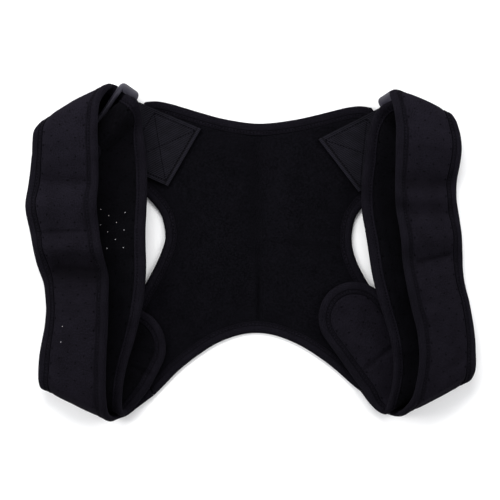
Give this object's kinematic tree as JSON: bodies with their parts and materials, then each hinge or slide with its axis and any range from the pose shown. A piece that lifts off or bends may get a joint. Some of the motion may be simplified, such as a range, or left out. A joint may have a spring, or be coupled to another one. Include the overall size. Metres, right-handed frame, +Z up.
{
  "type": "posture corrector",
  "caption": "Posture corrector lying flat, inner side up: padded X-shaped back panel, and bound straps folded back through plastic rings.",
  "frame": {"origin": "on the surface that the part lies on, under the middle of its outline", "axes": "+X across the wearer's back towards the strap at the picture's right, +Y towards the panel's upper edge, +Z up, out of the side that faces the wearer"},
  "size_m": [0.449, 0.337, 0.0424],
  "materials": {
    "lining": "matt knitted lining over foam",
    "strap_cloth": "matt perforated padded cloth",
    "tape": "matt woven binding",
    "webbing": "ribbed webbing with a slight sheen",
    "ring_plastic": "satin moulded plastic"
  },
  "bodies": {
    "root": {"back_panel": "lining", "top_binding": "tape", "left_armhole_binding": "tape", "bottom_binding": "tape", "right_armhole_binding": "tape", "left_strap": "strap_cloth", "left_strap_binding": "tape", "left_webbing": "webbing", "left_ring": "ring_plastic", "right_strap": "strap_cloth", "right_strap_binding": "tape", "right_webbing": "webbing", "right_ring": "ring_plastic"}
  },
  "joints": []
}
